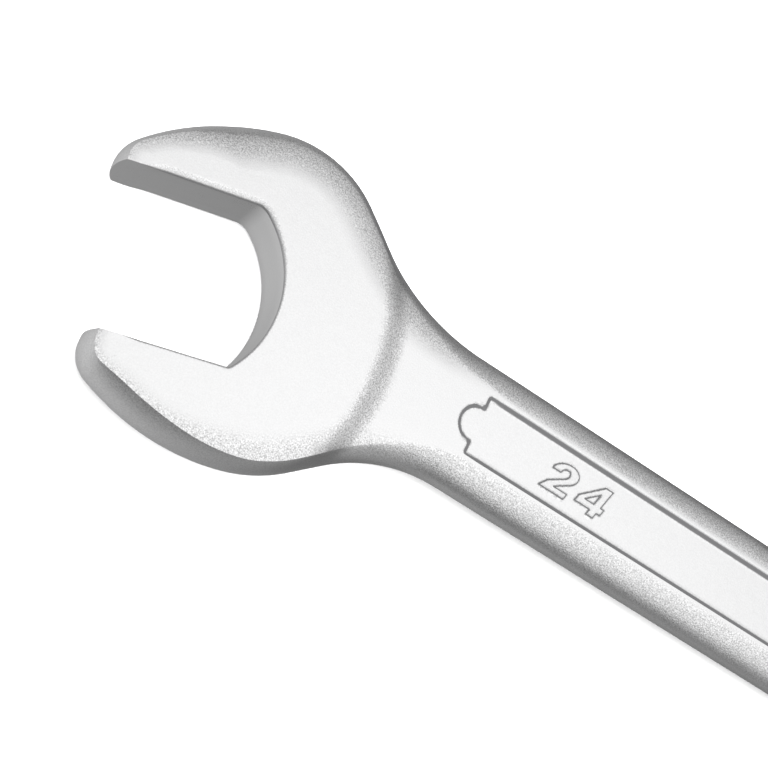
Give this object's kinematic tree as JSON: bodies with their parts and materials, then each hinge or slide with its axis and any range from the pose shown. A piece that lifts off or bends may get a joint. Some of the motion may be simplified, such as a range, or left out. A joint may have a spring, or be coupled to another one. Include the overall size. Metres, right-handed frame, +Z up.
{
  "type": "combination wrench",
  "caption": "Combination wrench with an open end set at 15 degrees, a recessed shank panel and a tilted twelve-point ring, in satin chrome plated steel.",
  "frame": {"origin": "centre of the bounding box in plan, on the surface the wrench lies on", "axes": "+X along the shank from the open end to the ring, +Y across the shank, +Z up out of the face with the raised number"},
  "size_m": [0.2852, 0.051, 0.0226],
  "materials": {
    "satin_chrome": "satin chrome plate over forged chrome vanadium steel"
  },
  "bodies": {
    "root": {"wrench": "satin_chrome"}
  },
  "joints": []
}
